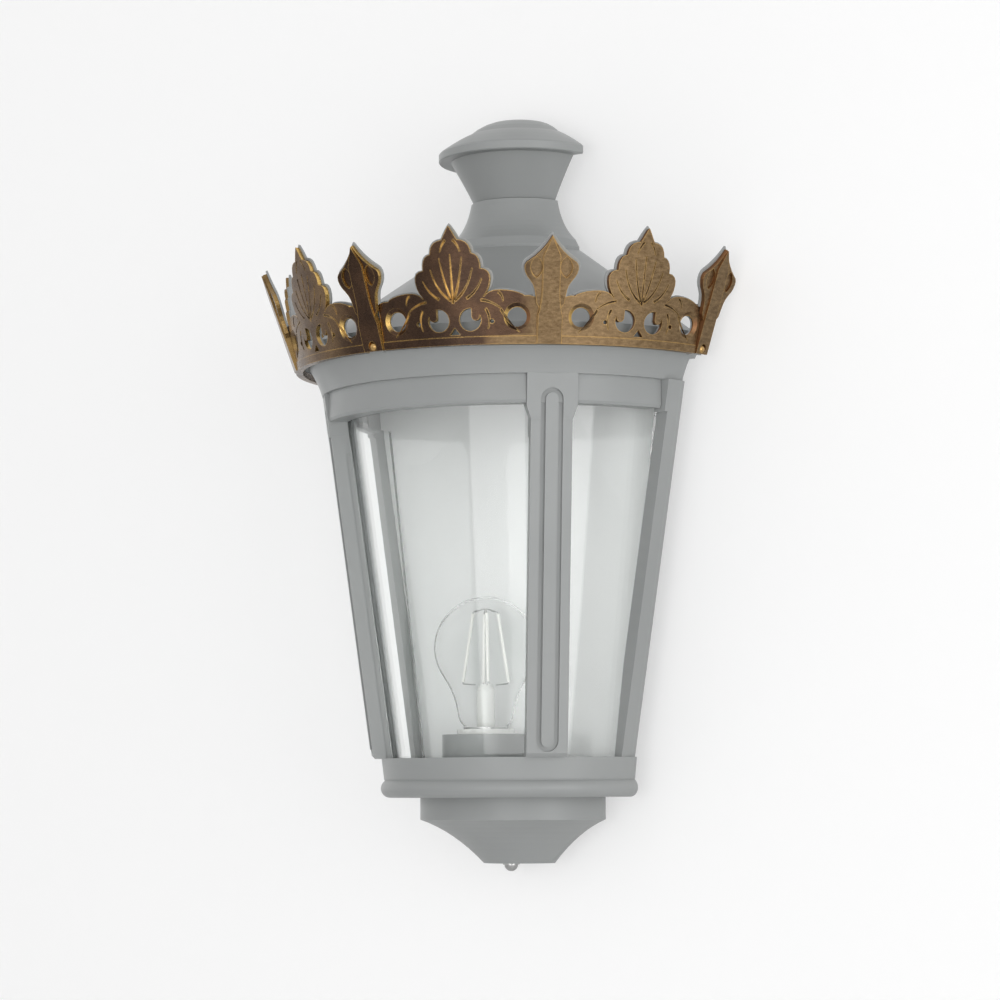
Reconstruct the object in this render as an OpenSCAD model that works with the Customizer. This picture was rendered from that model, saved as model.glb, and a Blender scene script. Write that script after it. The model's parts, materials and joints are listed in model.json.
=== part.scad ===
// Outdoor wall light: a half-round glazed lantern on a wall bracket, with a pierced brass crown.
// The wall is the plane Y = 0, the front is -Y, and z = 0 is the top edge of the base.

/* [Body] */
// Gap between the wall and the lantern's flat back
standoff = 17.5; // [17:0.1:22]
// Height of the glazed opening, from the base to the ring
glazed_h = 199; // [185:1:215]
// Thickness of the flat back plate
back_t = 3; // [2:0.5:3.5]
// Thickness of the white reflector sheet
reflector_t = 1; // [0.8:0.1:1.5]

/* [Glass] */
// Distance of the glass inside the base's top edge
glass_set = 5.8; // [5:0.1:6.6]
// Outward lean of the glass, in mm for each mm of height
glass_lean = 0.131; // [0.12:0.001:0.14]
// Thickness of a pane
glass_t = 4; // [3:0.5:4.5]
// Half of the gap between two panes behind a rib, in degrees
pane_gap = 0.8; // [0.6:0.1:1.2]

/* [Ribs and posts] */
// Angle of each rib from the front
rib_angle = 47; // [44:1:50]
// Radial thickness of a rib
rib_t = 10.7; // [9:0.1:11.5]
// Width of a rib's shank
rib_w = 23.8; // [20:0.2:26]
// Width of a rib's head
rib_head_w = 29; // [27:0.5:32]
// Outer width of the engraved loop
loop_w = 12.8; // [10:0.2:15]
// Width of the raised bar inside the loop
loop_bar_w = 7.3; // [5:0.1:8.5]
// Depth of the engraved loop
loop_depth = 1.5; // [0.8:0.1:2.5]
// Width of a wall post, seen from the front
post_w = 7.5; // [6.5:0.1:9]
// Depth of a wall post in front of the back plate
post_depth = 10; // [8:0.5:12]

/* [Ring and base] */
// Height of the ring over the glass
ring_h = 16.5; // [14:0.5:20]
// Wall of the ring
ring_wall = 3; // [2.5:0.1:3.5]
// Radius of the base at its top edge
base_r = 83.8; // [80:0.1:88]
// Height of the base
base_h = 23; // [21:0.5:27]
// Radius of the bead round the base
bead_r = 5.5; // [4.5:0.1:6]
// Radius of the dish
dish_r = 61; // [56:0.5:66]
// Height of the dish
dish_h = 38.7; // [34:0.1:44]
// Wall of the cast pieces
cast_t = 3; // [2.5:0.1:3.5]

/* [Lamp] */
// Distance of the lamp from the lantern's flat back
lamp_y = 34.6; // [34.6:0.1:40]
// Radius of the bulb
bulb_r = 30; // [27:0.5:30]
// Height of the widest part of the bulb over the base
bulb_mid_z = 64.7; // [62:0.1:70]
// Radius of the lampholder's cup
cup_r = 25.3; // [24:0.1:27]
// Height of the lampholder's cup
cup_h = 13.8; // [11:0.1:16]

/* [Roof] */
// Height of the roof's cove over the ring
cove_h = 17.5; // [15:0.5:20]
// Overhang of the roof's upright edge beyond the ring
eave_out = 11; // [9:0.1:13]
// Rise of the roof from the cove to the chimney
roof_rise = 67; // [60:1:75]
// Outer radius of the chimney's foot
collar_r = 45; // [42:0.5:48]
// Height of the chimney collar
collar_h = 31.5; // [28:0.5:36]
// Radius of the chimney cap
cap_r = 48.4; // [46:0.2:52]
// Height of the chimney cap
cap_h = 50; // [46:0.5:56]

/* [Crown] */
// Distance of the crown's lower edge outside the roof's upright edge
crown_out = 6.8; // [6.4:0.1:9]
// Thickness of the brass castings
crown_t = 2.4; // [2:0.1:2.6]
// Thickness of the painted sheet behind the brass
crown_back_t = 1.2; // [0.8:0.1:1.4]
// Height of the crown's lower edge over the ring
crown_rise = 14.2; // [13:0.1:16]
// Depth of the engraved veins
vein_depth = 0.8; // [0.4:0.1:1.2]
// Width of the engraved veins
vein_w = 1.3; // [0.8:0.1:1.8]

/* [Wall bracket] */
// Width of the bracket
bracket_w = 90; // [80:1:96]
// Height of the bracket
bracket_h = 222; // [200:1:226]
// Sheet thickness of the bracket
bracket_t = 2; // [1.5:0.1:2.5]
// Spacing of the wall holes across the wall
wall_hole_dx = 50; // [44:1:54]
// Spacing of the wall holes up the wall
wall_hole_dz = 150; // [130:1:170]
// Diameter of the wall holes
wall_hole_d = 5.5; // [4.5:0.1:6.5]
// Diameter of the cable hole inside its grommet
cable_d = 10; // [8:0.5:11]

/* [Hidden] */
$fn = 96;
big = 400;
fit = 0.3;
grey = [0.57, 0.58, 0.58];
brass = [0.5, 0.38, 0.22];
steel = [0.75, 0.75, 0.76];

// Slope of the posts, from the base's edge to just outside the ring
ring_top = glazed_h + ring_h;
glass_r = base_r - glass_set;
ring_r = glass_r + glass_lean * glazed_h + rib_t + 1.25;
post_foot_r = base_r - 1.4;
post_slope = (ring_r + 1.4 - post_foot_r) / glazed_h;
rib_face_r = glass_r + fit + rib_t;
rib_tilt = atan(glass_lean);
flange_t = 3;
flange_r = glass_r + glass_lean * (glazed_h + flange_t) + fit;
pin_r = 1.2;
pin_depth = 2.8;
strap_x = 70;
strap_z = [glazed_h + 8, ring_top + 9];
strap_t = 2;
strap_w = 14;
strap_screw_l = back_t + strap_t;
post_screw_z = [24, glazed_h - 24];
head_seat = ring_wall / 2;
rib_screw_x = 0.36 * rib_head_w;
rib_screw_head_r = 3.4;
rib_screw_z = (glazed_h + ring_top) / 2 + 1;
rib_pin_in = 2.4;
post_pin_in = 2.4;
post_screw_in = 3.4;
filament_count = 4;
filament_r = 0.9;
filament_low = 44.5;
filament_high = 84.5;
cage_low_r = 13.3;
cage_high_r = 7.3;
wire_r = 0.35;
stem_top = 43.4;
head_drop = 2;
head_bevel = 7;
post_head_depth = post_depth + 2.5;
pane_foot = 2;
pane_top = glazed_h + flange_t - 0.5;

base_taper = 1.4;
bead_z = -base_h + bead_r;
bead_mid_r = base_r - bead_r + 0.5;
skirt_h = base_h - 2 * bead_r;
base_hole_r = dish_r - 4;
dish_band = 13;
dish_foot_r = 23.5;
dish_bottom = -base_h - dish_h;
dish_t = 2.5;
dish_screw_y = 11.7;
dish_screw_r = 2;
dish_head_r = 4.1;
dish_leg_z = dish_bottom + dish_t + 4;
dish_bracket_w = 20;

bulb_neck_r = 16.8;
bulb_t = 0.8;
cap_shell_r = 13.1;
cap_shell_t = 0.4;
cap_shell_top = 18;
cap_shell_low = -6;
thread_pitch = 3.629;
holder_r = 16.8;
holder_low = -20;
holder_top = cup_h + 3;
holder_bore = cap_shell_r + 1.7;
socket_gap = 0.3;
thread_depth = 0.8;
holder_floor = 4;
holder_flange_r = cup_r - 1;
holder_screw_x = 20.6;
contact_top = -10.8;

stud_y = 16;
stud_r = 3;
collar_z = ring_top + cove_h + roof_rise;
cap_z = collar_z + collar_h + 0.5;
cap_top = cap_z + cap_h;
vent_r = 30;
cove_foot_r = ring_r + 2.6;
eave_r = ring_r + eave_out;
eave_z = ring_top + cove_h + 10.8;
roof_slope = (collar_z - eave_z) / (eave_r - collar_r);
roof_drop = cast_t * sqrt(1 + roof_slope * roof_slope);

crown_r = eave_r + crown_out;
crown_near = crown_r - 24;
crown_far = crown_r + 31;
crown_z = ring_top + crown_rise;
crown_lean = 0.235;
crown_tilt = atan(crown_lean);
spear_tilt = 19.5;
rim_h = 4.4;
rim_proud = 0.5;
crown_screw_z = crown_z + 2.8;
crown_screw_r = 1.4;
crown_head_r = 2.5;
bay = 45;
end_angle = 88.5;
edge_grow = 1.2;
end_foot_w = 10.4;
stem_w = 9;
leaf_tip = 65.4;
ring_hole_a = 14.9;
ring_hole_z = 15;
leaf_hole_a = 3.85;
leaf_hole_z = 13.8;
leaf_hole_r = 6.2;
ring_hole_r = 5.4;
dish_hole_r = 7.9;
dish_hole_depth = 1.6;
strip_foot_w = 13.8;
strip_head_w = 9.8;
strip_t = 1;
joint_gap = 0.3;

bracket_low = -33;
cable_z = -13.5;
wall_hole_shift = 1;
wall_hole_z = bracket_low + bracket_h / 2 - wall_hole_dz / 2 + wall_hole_shift;
lip_w = 12;
bracket_screw_x = bracket_w / 2 - lip_w / 2;
bracket_screw_z = [38, 158];
bracket_screw_r = 2.5;
grommet_lip = 2;
grommet_wall = 3;

// Wiring inside the base, as points chosen by hand
block_w = 34;
block_h = 16;
block_depth = 14;
block_z = -46;
lead_d = 2.6;
lead_reach = lamp_y - back_t - block_depth / 2;
lead_points = [[0, 0, 0], [0, 0, 5.5], [-0.4, -3, 9.5], [-1.5, -0.45 * lead_reach, 11.5],
    [-3, -0.75 * lead_reach, 11], [-3.8, 0.6 - lead_reach, 12.2], [-4, -lead_reach, 14.5],
    [-4, -lead_reach, 18]];
earth_points = [[0, 0, 0], [0, 0, 4.5], [1.5, 2, 7.5], [6, 3.6, 9], [11, 4.3, 8.5], [17, 4.3, 6],
    [22, 4.6, 2], [24, 5.2, -1.8]];
earth_x = 24;
earth_z = -40;

// Points of a curve from a to c that bends towards b
function bend(a, b, c, n) = [for (i = [0 : n]) let (t = i / n)
    a * (1 - t) * (1 - t) + b * 2 * t * (1 - t) + c * t * t];

// The same points mirrored in x, in the reverse order
function flipped(p) = [for (i = [len(p) - 1 : -1 : 0]) [-p[i][0], p[i][1]]];

// Points moved by d
function moved(p, d) = [for (q = p) q + d];

function backwards(p) = [for (i = [len(p) - 1 : -1 : 0]) p[i]];

// Outline of a line that follows a curve and narrows at its far end
function vein(a, b, c, w, n = 5) =
    let (mid = bend(a, b, c, n),
         side = [for (i = [0 : n])
             let (t = i / n, d = (b - a) * (1 - t) + (c - b) * t, l = norm(d))
             [-d[1], d[0]] / l * w / 2 * (1 - 0.75 * t)])
    concat([for (i = [0 : n]) mid[i] + side[i]], [for (i = [n : -1 : 0]) mid[i] - side[i]]);

// Outer radius of the glass and of the posts at height z
function glass_at(z) = glass_r + glass_lean * z;
function post_at(z) = post_foot_r + post_slope * z;

// Places a feature at an angle round the lantern's axis, with its outside towards -Y
module round_at(angle) {
    translate([0, -standoff, 0]) rotate([0, 0, angle]) children();
}

// Turns an outline of radius and height into the front half
module half_turn() {
    translate([0, -standoff, 0]) rotate([0, 0, 180]) rotate_extrude(angle = 180) children();
}

// Turns an outline between two angles from the front
module part_turn(from, to) {
    round_at(from - 90) rotate_extrude(angle = to - from) children();
}

// Keeps what lies more than d in front of the lantern's flat back
module in_front(d) {
    intersection() {
        children();
        translate([-big / 2, -standoff - d - big, -big / 2]) cube([big, big, 2 * big]);
    }
}

// Extrudes an outline of width and height outwards, from radius a to radius b
module radial(a, b) {
    translate([0, -a, 0]) rotate([90, 0, 0]) linear_extrude(b - a) children();
}

// Extrudes an outline of width and height forwards from the flat back
module flat(a, b) {
    translate([0, -standoff - a, 0]) rotate([90, 0, 0]) linear_extrude(b - a) children();
}

// Half-round hollow piece with a flat back wall
module half_shell(outer, inner, wall) {
    difference() {
        half_turn() polygon(outer);
        in_front(wall) half_turn() polygon(inner);
    }
}

// Countersunk or domed screw along +Z, with its head at the origin's far side
module dome_screw(r, length, head_r, head_h) {
    translate([0, 0, -length]) cylinder(r = r, h = length + 0.1);
    intersection() {
        cylinder(r = head_r, h = head_h);
        ball = (head_r * head_r + head_h * head_h) / (2 * head_h);
        translate([0, 0, head_h - ball]) sphere(r = ball);
    }
}

module flat_screw(r, length, head_r) {
    translate([0, 0, -length]) cylinder(r = r, h = length);
    translate([0, 0, -head_r + r]) cylinder(r1 = r, r2 = head_r, h = head_r - r);
}

// Tube that follows a list of points, with eight sides
module tube(points, d) {
    sides = 8;
    n = len(points);
    function along(i) = let (v = points[min(i + 1, n - 1)] - points[max(i - 1, 0)]) v / norm(v);
    function across(i) = let (v = cross(along(i), [0.31, 0.12, 0.95])) v / norm(v);
    rings = [for (i = [0 : n - 1]) let (u = across(i), v = cross(along(i), u))
        for (k = [0 : sides - 1])
            points[i] + (u * cos(360 * k / sides) + v * sin(360 * k / sides)) * d / 2];
    walls = [for (i = [0 : n - 2]) for (k = [0 : sides - 1])
        let (a = i * sides + k, b = i * sides + (k + 1) % sides) [a, a + sides, b + sides, b]];
    ends = [[for (k = [0 : sides - 1]) k], [for (k = [sides - 1 : -1 : 0]) (n - 1) * sides + k]];
    polyhedron(rings, concat(walls, ends));
}

// Bracket, back plate and reflector

module bracket_screw_places() {
    for (side = [-1, 1]) for (z = bracket_screw_z)
        translate([side * bracket_screw_x, -standoff - back_t, z]) rotate([90, 0, 0]) children();
}

module wall_bracket() {
    color(grey) difference() {
        translate([-bracket_w / 2, -standoff, bracket_low]) cube([bracket_w, standoff, bracket_h]);
        translate([-bracket_w / 2 + bracket_t, -standoff + bracket_t, bracket_low + bracket_t])
            cube([bracket_w - 2 * bracket_t, standoff - 2 * bracket_t, bracket_h - 2 * bracket_t]);
        translate([-bracket_w / 2 + lip_w, -standoff - 1, bracket_low + lip_w])
            cube([bracket_w - 2 * lip_w, bracket_t + 2, bracket_h - 2 * lip_w]);
        for (x = [-1, 1]) for (z = [0, 1])
            translate([x * wall_hole_dx / 2, 1, wall_hole_z + z * wall_hole_dz])
                rotate([90, 0, 0]) cylinder(d = wall_hole_d, h = bracket_t + 2);
        translate([0, 1, cable_z]) rotate([90, 0, 0])
            cylinder(d = cable_d + 2 * grommet_wall, h = bracket_t + 2);
        bracket_screw_places() translate([0, 0, -back_t - bracket_t - 1])
            cylinder(r = bracket_screw_r + 0.1, h = back_t + bracket_t + 2);
    }
}

module bracket_screws() {
    color(steel) bracket_screw_places() flat_screw(bracket_screw_r, 10, bracket_screw_r + 2);
}

// Rubber ring with a lip on each side of a sheet
module grommet(thickness) {
    difference() {
        rotate([90, 0, 0]) union() {
            cylinder(d = cable_d + 2 * grommet_wall, h = thickness);
            translate([0, 0, thickness]) cylinder(d = cable_d + 2 * grommet_wall + 4, h = grommet_lip);
        }
        translate([0, 1, 0]) rotate([90, 0, 0]) cylinder(d = cable_d, h = thickness + grommet_lip + 2);
    }
}

module cable_grommets() {
    color([0.1, 0.1, 0.1]) {
        translate([0, 0, cable_z]) grommet(bracket_t);
        translate([0, -standoff, cable_z]) grommet(back_t);
    }
}

module back_plate() {
    half = concat(backwards(dish_side()), [[dish_r, -base_h]], backwards(base_side()),
        [[post_foot_r, 0], [post_at(ring_top), ring_top]]);
    color(grey) difference() {
        flat(0, back_t) polygon(concat(half, flipped(half)));
        translate([0, -standoff + 1, cable_z]) rotate([90, 0, 0])
            cylinder(d = cable_d + 2 * grommet_wall, h = back_t + 2);
        bracket_screw_places() {
            translate([0, 0, -back_t - 1]) cylinder(r = bracket_screw_r + 0.1, h = back_t + 2);
            translate([0, 0, -2]) cylinder(r1 = bracket_screw_r, r2 = bracket_screw_r + 2.1, h = 2.1);
        }
        strap_screw_places() translate([0, 0, -strap_screw_l]) cylinder(r = 1.6, h = 20);
        post_screw_places() flat_screw(1.6, back_t + 1, 3.2);
        translate([0, -standoff + 1, 0]) earth_place() cylinder(r = 2.1, h = back_t + 2);
    }
}

module reflector() {
    function edge(z) = post_at(z) - post_w - fit;
    neck = glazed_h - head_drop - fit;
    side = [[edge(fit), fit], [edge(neck), neck], [edge(ring_top) - 2, ring_top - fit]];
    color("white") flat(back_t, back_t + reflector_t)
        polygon(concat(side, flipped(side)));
}

// Base and dish

// Side of the base from its top edge down round the bead
function base_side() = concat([[base_r, 0], [base_r - base_taper, -skirt_h]],
    [for (a = [54 : -6 : -90]) [bead_mid_r + bead_r * cos(a), bead_z + bead_r * sin(a)]]);

module base_pan() {
    inner_r = base_r - base_taper - cast_t;
    color(grey) in_front(back_t) difference() {
        half_turn() polygon(concat([[0, 0]], base_side(), [[0, -base_h]]));
        half_turn() polygon([[0, -cast_t], [inner_r, -cast_t], [inner_r, -base_h + cast_t],
            [base_hole_r, -base_h + cast_t], [base_hole_r, -base_h - 1], [0, -base_h - 1]]);
        half_turn() polygon([[glass_at(-pane_foot) - glass_t - fit, -pane_foot],
            [glass_at(-pane_foot) + fit, -pane_foot], [glass_at(1) + fit, 1],
            [glass_at(1) - glass_t - fit, 1]]);
        lamp_at() translate([0, 0, -cast_t - 1]) cylinder(r = holder_r + 0.2, h = cast_t + 2);
        lampholder_screw_places() translate([0, 0, -cast_t - 1]) cylinder(r = 1.7, h = cast_t + 2);
        foot_pin_places() cylinder(r = pin_r, h = 2 * pin_depth, center = true);
    }
}

function dish_side() = bend([dish_r, -base_h - dish_band], [41, -base_h - dish_band - 7],
    [dish_foot_r, dish_bottom], 8);

module dish() {
    side = dish_side();
    color(grey) difference() {
        in_front(back_t) half_turn() polygon(concat([[0, -base_h], [dish_r, -base_h]], side,
            [[0, dish_bottom]]));
        in_front(back_t) half_turn() polygon(concat([[0, -base_h + 1], [dish_r - dish_t, -base_h + 1]],
            moved([for (p = side) if (p[1] > dish_bottom + dish_t) p], [-dish_t, dish_t * 0.6]),
            [[dish_foot_r - 2, dish_bottom + dish_t], [0, dish_bottom + dish_t]]));
        dish_screw_place() translate([0, 0, -10]) cylinder(r = dish_screw_r + 0.2, h = 20);
    }
}

module dish_screw_place() {
    translate([0, -standoff - dish_screw_y, dish_bottom]) rotate([180, 0, 0]) children();
}

module dish_bracket() {
    color(steel) difference() {
        translate([-dish_bracket_w / 2, -standoff - back_t - 16, dish_leg_z]) union() {
            cube([dish_bracket_w, 16, 2.5]);
            translate([0, 14, 0]) cube([dish_bracket_w, 2, 9]);
        }
        dish_screw_place() translate([0, 0, -20]) cylinder(r = dish_screw_r, h = 20);
    }
}

module dish_screw() {
    color(steel) dish_screw_place() translate([0, 0, 0.8]) difference() {
        dome_screw(dish_screw_r, 12, dish_head_r, 3.9);
        translate([-dish_head_r, -0.5, 3.1]) cube([2 * dish_head_r, 1, 2]);
    }
}

module dish_washer() {
    color(steel) dish_screw_place() difference() {
        cylinder(r = dish_head_r + 1, h = 0.8);
        translate([0, 0, -1]) cylinder(r = dish_screw_r + 0.2, h = 3);
    }
}

// Wiring

module block_place() {
    translate([0, -standoff - back_t, block_z]) children();
}

module terminal_block() {
    color([0.85, 0.85, 0.82]) block_place() difference() {
        translate([-block_w / 2, -block_depth, 0]) cube([block_w, block_depth, block_h]);
        for (k = [-1 : 1]) translate([k * 11, 0, 0]) {
            translate([0, -7, -1]) cylinder(d = lead_d + 0.6, h = block_h + 2);
            translate([0, -7, block_h / 2]) rotate([90, 0, 0]) cylinder(r = 2, h = 10);
        }
    }
}

module terminal_screws() {
    color(steel) block_place() for (k = [-1 : 1])
        translate([k * 11, -8.6, block_h / 2]) rotate([90, 0, 0]) difference() {
            cylinder(r = 2, h = 3.4);
            translate([-2, -0.4, 2.6]) cube([4, 0.8, 2]);
        }
}

module supply_leads() {
    color([0.3, 0.2, 0.15]) for (side = [-1, 1])
        translate([side * 11, -standoff - back_t - block_depth / 2, block_z + block_h - 5]) scale_x(side)
            tube(lead_points, lead_d);
}

// Mirrors in x for side -1, and leaves side 1 as it is
module scale_x(side) {
    if (side > 0) children();
    else mirror([1, 0, 0]) children();
}

module earth_place() {
    translate([earth_x, 0, earth_z]) rotate([90, 0, 0]) children();
}

module earth_lead() {
    color([0.4, 0.6, 0.2])
        translate([0, -standoff - back_t - block_depth / 2, block_z + block_h - 4])
        tube(earth_points, lead_d);
}

module earth_screw() {
    color(brass) translate([0, -standoff - back_t, 0]) earth_place() {
        dome_screw(2, back_t + 3, 4, 2.4);
    }
}

// Glazed body

module top_ring() {
    color(grey) difference() {
        in_front(back_t + post_head_depth + 0.6) half_turn() union() {
            polygon([[ring_r - ring_wall, glazed_h], [ring_r - 1, glazed_h], [ring_r, glazed_h + 1.6],
                [ring_r, ring_top], [ring_r - ring_wall, ring_top]]);
            translate([flange_r, glazed_h]) square([ring_r - ring_wall - flange_r + 0.1, flange_t]);
        }
        for (side = [-1, 1]) round_at(side * rib_angle) {
            translate([-rib_head_w / 2 - fit / 2, -ring_r - 5, glazed_h - 1])
                cube([rib_head_w + fit, 5 + ring_wall - head_seat, ring_h + 2]);
            for (x = [-1, 1]) translate([x * rib_screw_x, 0, rib_screw_z]) rotate([90, 0, 0])
                cylinder(r = 2.1, h = ring_r + 5);
        }
        clip_places() translate([0, 0, -flange_t - 1]) cylinder(r = 1.6, h = flange_t + 2);
    }
}

// Lays an outline on a rib's leaning outer face
module on_rib_face() {
    translate([0, -rib_face_r, 0]) rotate([90 + rib_tilt, 0, 0]) children();
}

// Long outline with round ends
module slot_outline(w, low, high) {
    translate([0, low + w / 2]) circle(d = w);
    translate([0, high - w / 2]) circle(d = w);
    translate([-w / 2, low + w / 2]) square([w, high - low - w]);
}

module rib_shape() {
    shank_h = glazed_h / cos(rib_tilt);
    head_low = shank_h - head_drop;
    loop_low = 2.7;
    loop_high = shank_h + 8.5;
    difference() {
        union() {
            on_rib_face() translate([0, 0, -rib_t]) linear_extrude(rib_t)
                translate([-rib_w / 2, -5]) square([rib_w, shank_h + 10]);
            on_rib_face() translate([0, 0, -rib_t]) linear_extrude(rib_t + 0.7)
                polygon([[-rib_w / 2, head_low - head_bevel], [rib_w / 2, head_low - head_bevel],
                    [rib_head_w / 2, head_low], [rib_head_w / 2, shank_h + ring_h + 5],
                    [-rib_head_w / 2, shank_h + ring_h + 5], [-rib_head_w / 2, head_low]]);
        }
        // Step along each side, in front of the glass
        for (side = [-1, 1]) on_rib_face()
            translate([side * rib_w / 2 - 1, -10, -rib_t - 1]) cube([2, shank_h - 10, 4.2]);
        // Engraved loop
        on_rib_face() translate([0, 0, -loop_depth]) linear_extrude(loop_depth + 5) difference() {
            slot_outline(loop_w, loop_low, loop_high);
            loop_bar(loop_low, loop_high);
        }
        // Cut level with the base and the roof, and back to the ring
        translate([-50, -200, -20]) cube([100, 200, 20]);
        translate([-50, -200, ring_top]) cube([100, 200, 40]);
        translate([-50, -ring_r + ring_wall - head_seat, glazed_h]) cube([100, 60, 60]);
        // Slanted lower end
        translate([0, -rib_face_r, 0]) rotate([-45, 0, 0]) translate([-50, -10, -20]) cube([100, 20, 21.2]);
        // Holes for the head screw and the foot pin
        for (x = [-1, 1]) translate([x * rib_screw_x, -ring_r - 0.4, rib_screw_z])
            rotate([-90, 0, 0]) cylinder(r = 2, h = 10);
        translate([0, -glass_at(0) - rib_pin_in, 0]) cylinder(r = pin_r, h = 2 * pin_depth, center = true);
    }
    on_rib_face() linear_extrude(0.9) loop_bar(loop_low, loop_high);
}

// Outline of the bar inside the loop
module loop_bar(low, high) {
    margin = (loop_w - loop_bar_w) / 2;
    slot_outline(loop_bar_w, low + margin, high - margin);
}

module rib_left() {
    color(grey) round_at(-rib_angle) rib_shape();
}

module rib_right() {
    color(grey) round_at(rib_angle) rib_shape();
}

module post_shape() {
    outer = [[post_at(0), 0], [post_at(ring_top), ring_top]];
    color(grey) difference() {
        union() {
            flat(back_t, back_t + post_depth)
                polygon([[post_at(0) - post_w, 0], outer[0], outer[1],
                    [post_at(ring_top) - post_w, ring_top]]);
            flat(back_t, back_t + post_head_depth)
                polygon([[post_at(glazed_h - head_drop) - post_w, glazed_h - head_drop],
                    [post_at(glazed_h - head_drop), glazed_h - head_drop],
                    outer[1], [post_at(ring_top) - post_w - 2, ring_top]]);
        }
        // Rebate for the edge of the side pane
        half_turn() polygon([[glass_at(-1) - glass_t - fit, -1], [glass_at(-1) + fit, -1],
            [glass_at(glazed_h) + fit, glazed_h], [glass_at(glazed_h) - glass_t - fit, glazed_h]]);
        post_screw_places() translate([0, 0, -back_t - 7]) cylinder(r = 1.5, h = 8);
        foot_pin_places() cylinder(r = pin_r, h = 2 * pin_depth, center = true);
    }
}

module post_left() {
    mirror([1, 0, 0]) post_shape();
}

module post_right() {
    post_shape();
}

module foot_pin_places() {
    for (side = [-1, 1]) {
        round_at(side * rib_angle) translate([0, -glass_at(0) - rib_pin_in, 0]) children();
        translate([side * (post_at(0) - post_pin_in), -standoff - back_t - post_depth / 2, 0]) children();
    }
}

// Dowels between the base and the feet of the ribs and posts
module foot_pins() {
    color(steel) foot_pin_places() cylinder(r = pin_r, h = 2 * pin_depth, center = true);
}

module rib_screws() {
    // The heads bear on the round inside of the ring at their outer edges
    seat = ring_r - ring_wall - 0.06;
    depth = sqrt(seat * seat - pow(rib_screw_x + rib_screw_head_r, 2));
    color(steel) for (side = [-1, 1]) round_at(side * rib_angle) for (x = [-1, 1])
        translate([x * rib_screw_x, -depth, rib_screw_z]) rotate([-90, 0, 0])
            dome_screw(2, 3.8, rib_screw_head_r, 2.2);
}

module post_screw_places() {
    for (side = [-1, 1]) for (z = post_screw_z)
        translate([side * (post_at(z) - post_screw_in), -standoff, z]) rotate([-90, 0, 0]) children();
}

module post_screws() {
    color(steel) post_screw_places() flat_screw(1.5, back_t + 6, 3);
}

module pane(from, to) {
    color([0.85, 0.92, 0.95, 0.35]) part_turn(from, to)
        polygon([[glass_at(-pane_foot) - glass_t, -pane_foot], [glass_at(-pane_foot), -pane_foot],
            [glass_at(pane_top), pane_top], [glass_at(pane_top) - glass_t, pane_top]]);
}

module glass_front() {
    pane(-rib_angle + pane_gap, rib_angle - pane_gap);
}

module glass_left() {
    in_front(back_t + reflector_t + fit) pane(-90, -rib_angle - pane_gap);
}

module glass_right() {
    in_front(back_t + reflector_t + fit) pane(rib_angle + pane_gap, 90);
}

module clip_places() {
    for (angle = [-66, -24, 24, 66])
        round_at(angle) translate([0, -flange_r - 4, glazed_h + flange_t]) children();
}

module glass_clips() {
    lip_r = glass_at(glazed_h) - glass_t - fit;
    lip_low = glazed_h + 1.5;
    color(steel) difference() {
        for (angle = [-66, -24, 24, 66]) round_at(angle) {
            translate([-5, -flange_r - 7, glazed_h + flange_t]) cube([10, flange_r + 8 - lip_r, 1]);
            translate([-5, -lip_r, lip_low]) cube([10, 1, glazed_h + flange_t + 1 - lip_low]);
        }
        clip_places() translate([0, 0, -1]) cylinder(r = 1.6, h = 3);
    }
}

module clip_screws() {
    color(steel) clip_places() translate([0, 0, 1]) dome_screw(1.5, 4, 2.6, 1.6);
}

// Lamp

module lamp_at() {
    translate([0, -standoff - lamp_y, 0]) children();
}

module lampholder_screw_places() {
    lamp_at() for (side = [-1, 1]) translate([side * holder_screw_x, 0, 0]) children();
}

module lampholder_cup() {
    color(grey) difference() {
        lamp_at() cylinder(r = cup_r, h = cup_h);
        lamp_at() translate([0, 0, -1]) cylinder(r = cup_r - 7.5, h = cup_h - 1);
        lamp_at() translate([0, 0, -1]) cylinder(r = holder_r + 0.2, h = cup_h + 2);
        lampholder_screw_places() translate([0, 0, -1]) cylinder(r = 1.6, h = 8);
    }
}

module lampholder() {
    color([0.93, 0.93, 0.9]) lamp_at() difference() {
        union() {
            translate([0, 0, holder_low]) cylinder(r = holder_r, h = holder_top - holder_low);
            translate([0, 0, -cast_t - 3]) cylinder(r = holder_flange_r, h = 3);
        }
        translate([0, 0, holder_low + holder_floor]) cylinder(r = holder_bore, h = 60);
        for (side = [-1, 1]) {
            translate([side * holder_screw_x, 0, -20]) cylinder(r = 1.7, h = 30);
            translate([side * 7, 0, holder_low - 1]) cylinder(r = 1.6, h = 10);
        }
    }
}

module lampholder_screws() {
    color(steel) lampholder_screw_places() translate([0, 0, -cast_t - 3]) rotate([180, 0, 0])
        dome_screw(1.5, cast_t + 8, 2.8, 1.8);
}

// Half the outline of a round thread, from one height to another
function thread_line(r, low, high, depth) = [for (z = [low : thread_pitch / 6 : high])
    [r - depth / 2 + depth / 2 * cos(360 * (z - low) / thread_pitch), z]];

module socket_shell() {
    low = cap_shell_low;
    high = 8;
    line = thread_line(cap_shell_r + socket_gap + thread_depth, low, high, thread_depth);
    color(brass) lamp_at() rotate_extrude()
        polygon(concat(line, moved(backwards(line), [cap_shell_t, 0])));
}

// Sprung tongue that the bulb's tip rests on
module centre_contact() {
    foot = holder_low + holder_floor + fit;
    color(brass) lamp_at() {
        translate([-3, -4, contact_top - 0.6]) cube([6, 8, 0.6]);
        translate([-3, 3.4, foot]) cube([6, 0.6, contact_top - foot]);
        translate([-3, -1, foot]) cube([6, 5, 0.6]);
    }
}

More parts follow.
